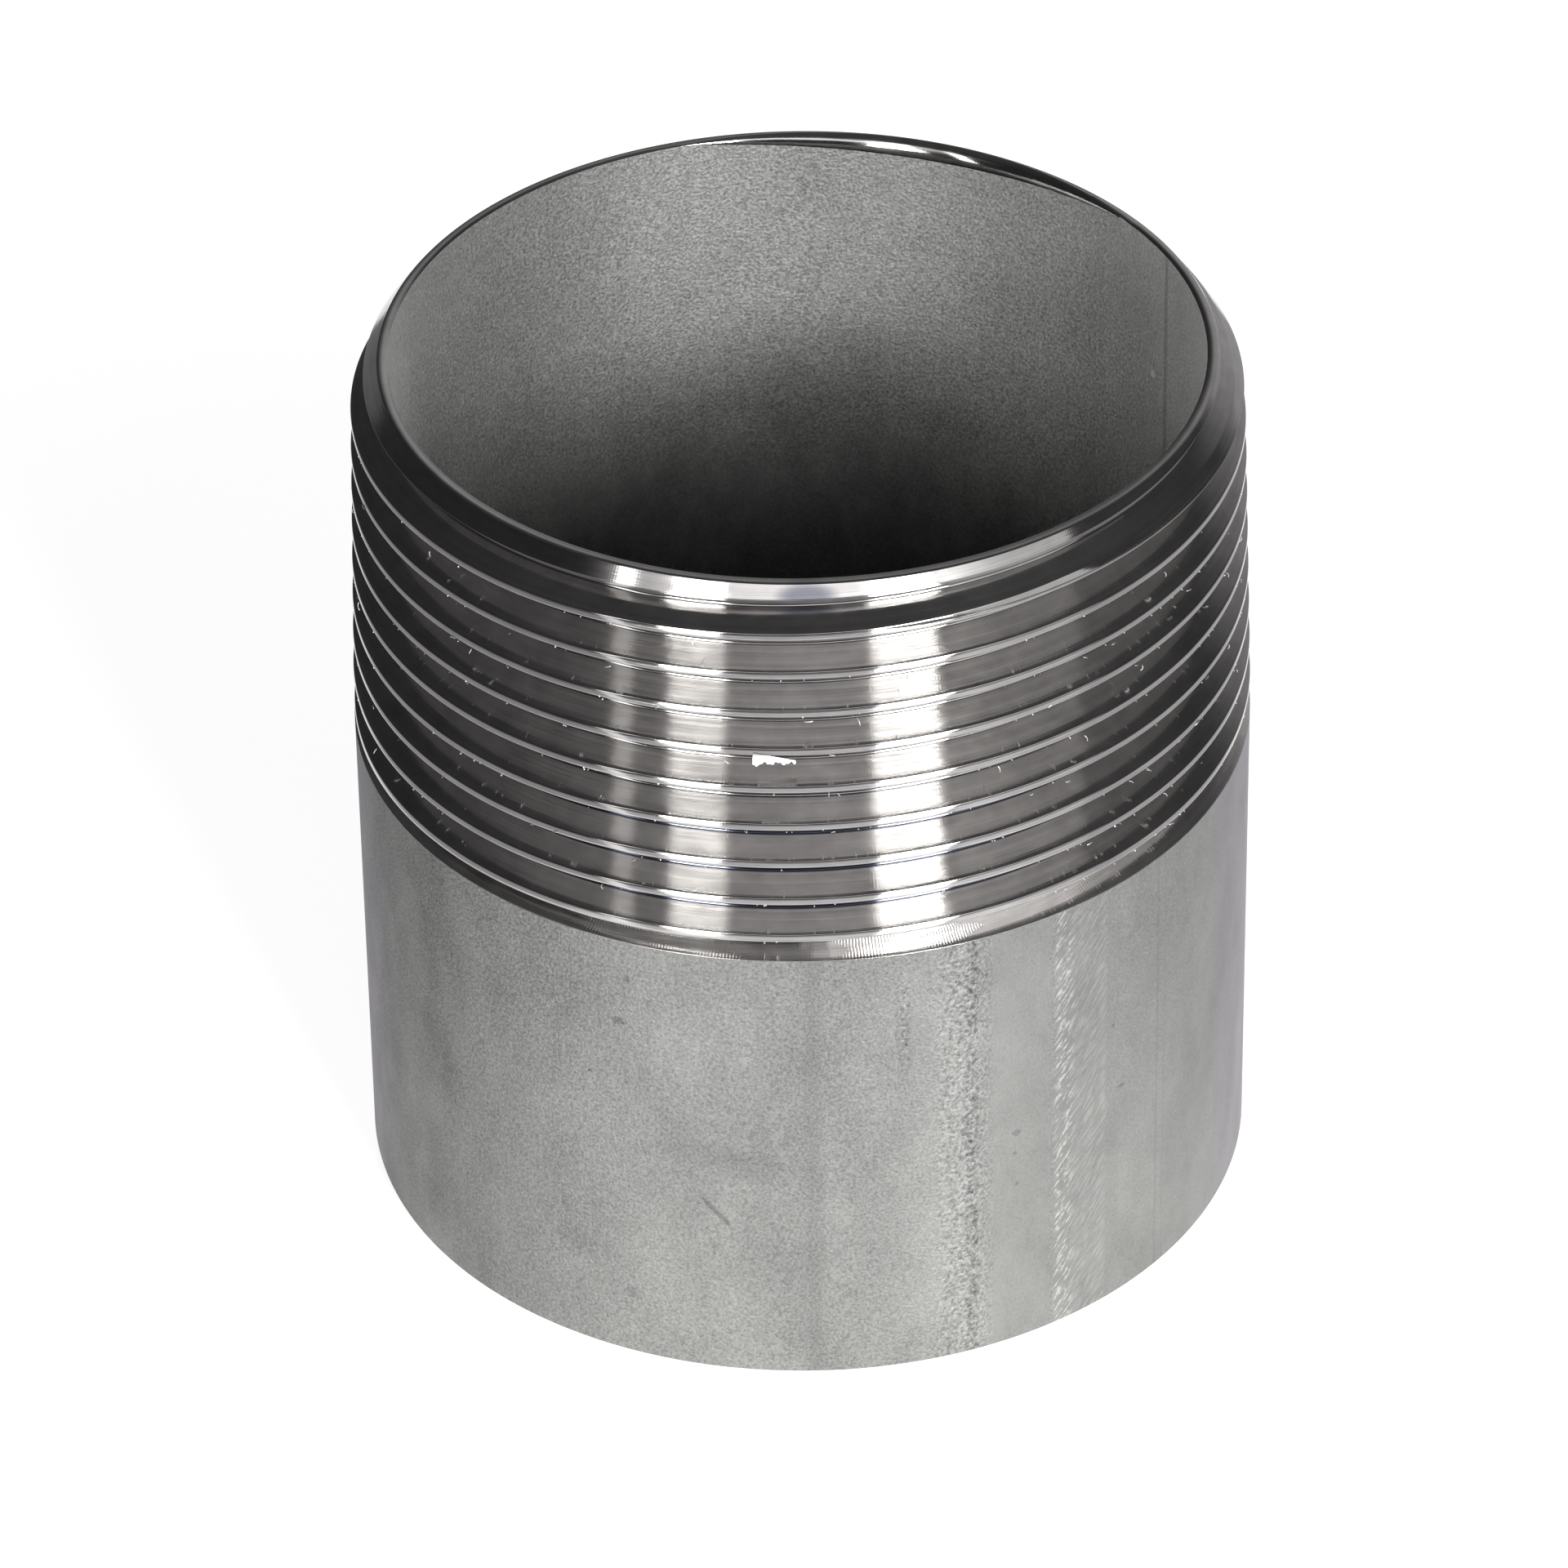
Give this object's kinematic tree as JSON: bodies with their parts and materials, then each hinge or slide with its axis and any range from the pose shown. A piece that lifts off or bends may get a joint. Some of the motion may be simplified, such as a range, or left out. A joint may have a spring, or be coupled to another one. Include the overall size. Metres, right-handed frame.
{
  "type": "pipe nipple",
  "caption": "Short stainless weld nipple: a welded tube with a right-hand tapered male pipe thread on one end and a plain end to weld on the other.",
  "frame": {"origin": "centre of the plain end's face, which the nipple stands on", "axes": "+Z along the tube's axis towards the threaded end, +Y away from the side that the picture shows"},
  "size_m": [0.0483, 0.0482, 0.0495],
  "materials": {
    "stainless_steel": "matte pickled tube, bright turned thread"
  },
  "bodies": {
    "root": {"pipe_nipple": "stainless_steel"}
  },
  "joints": []
}
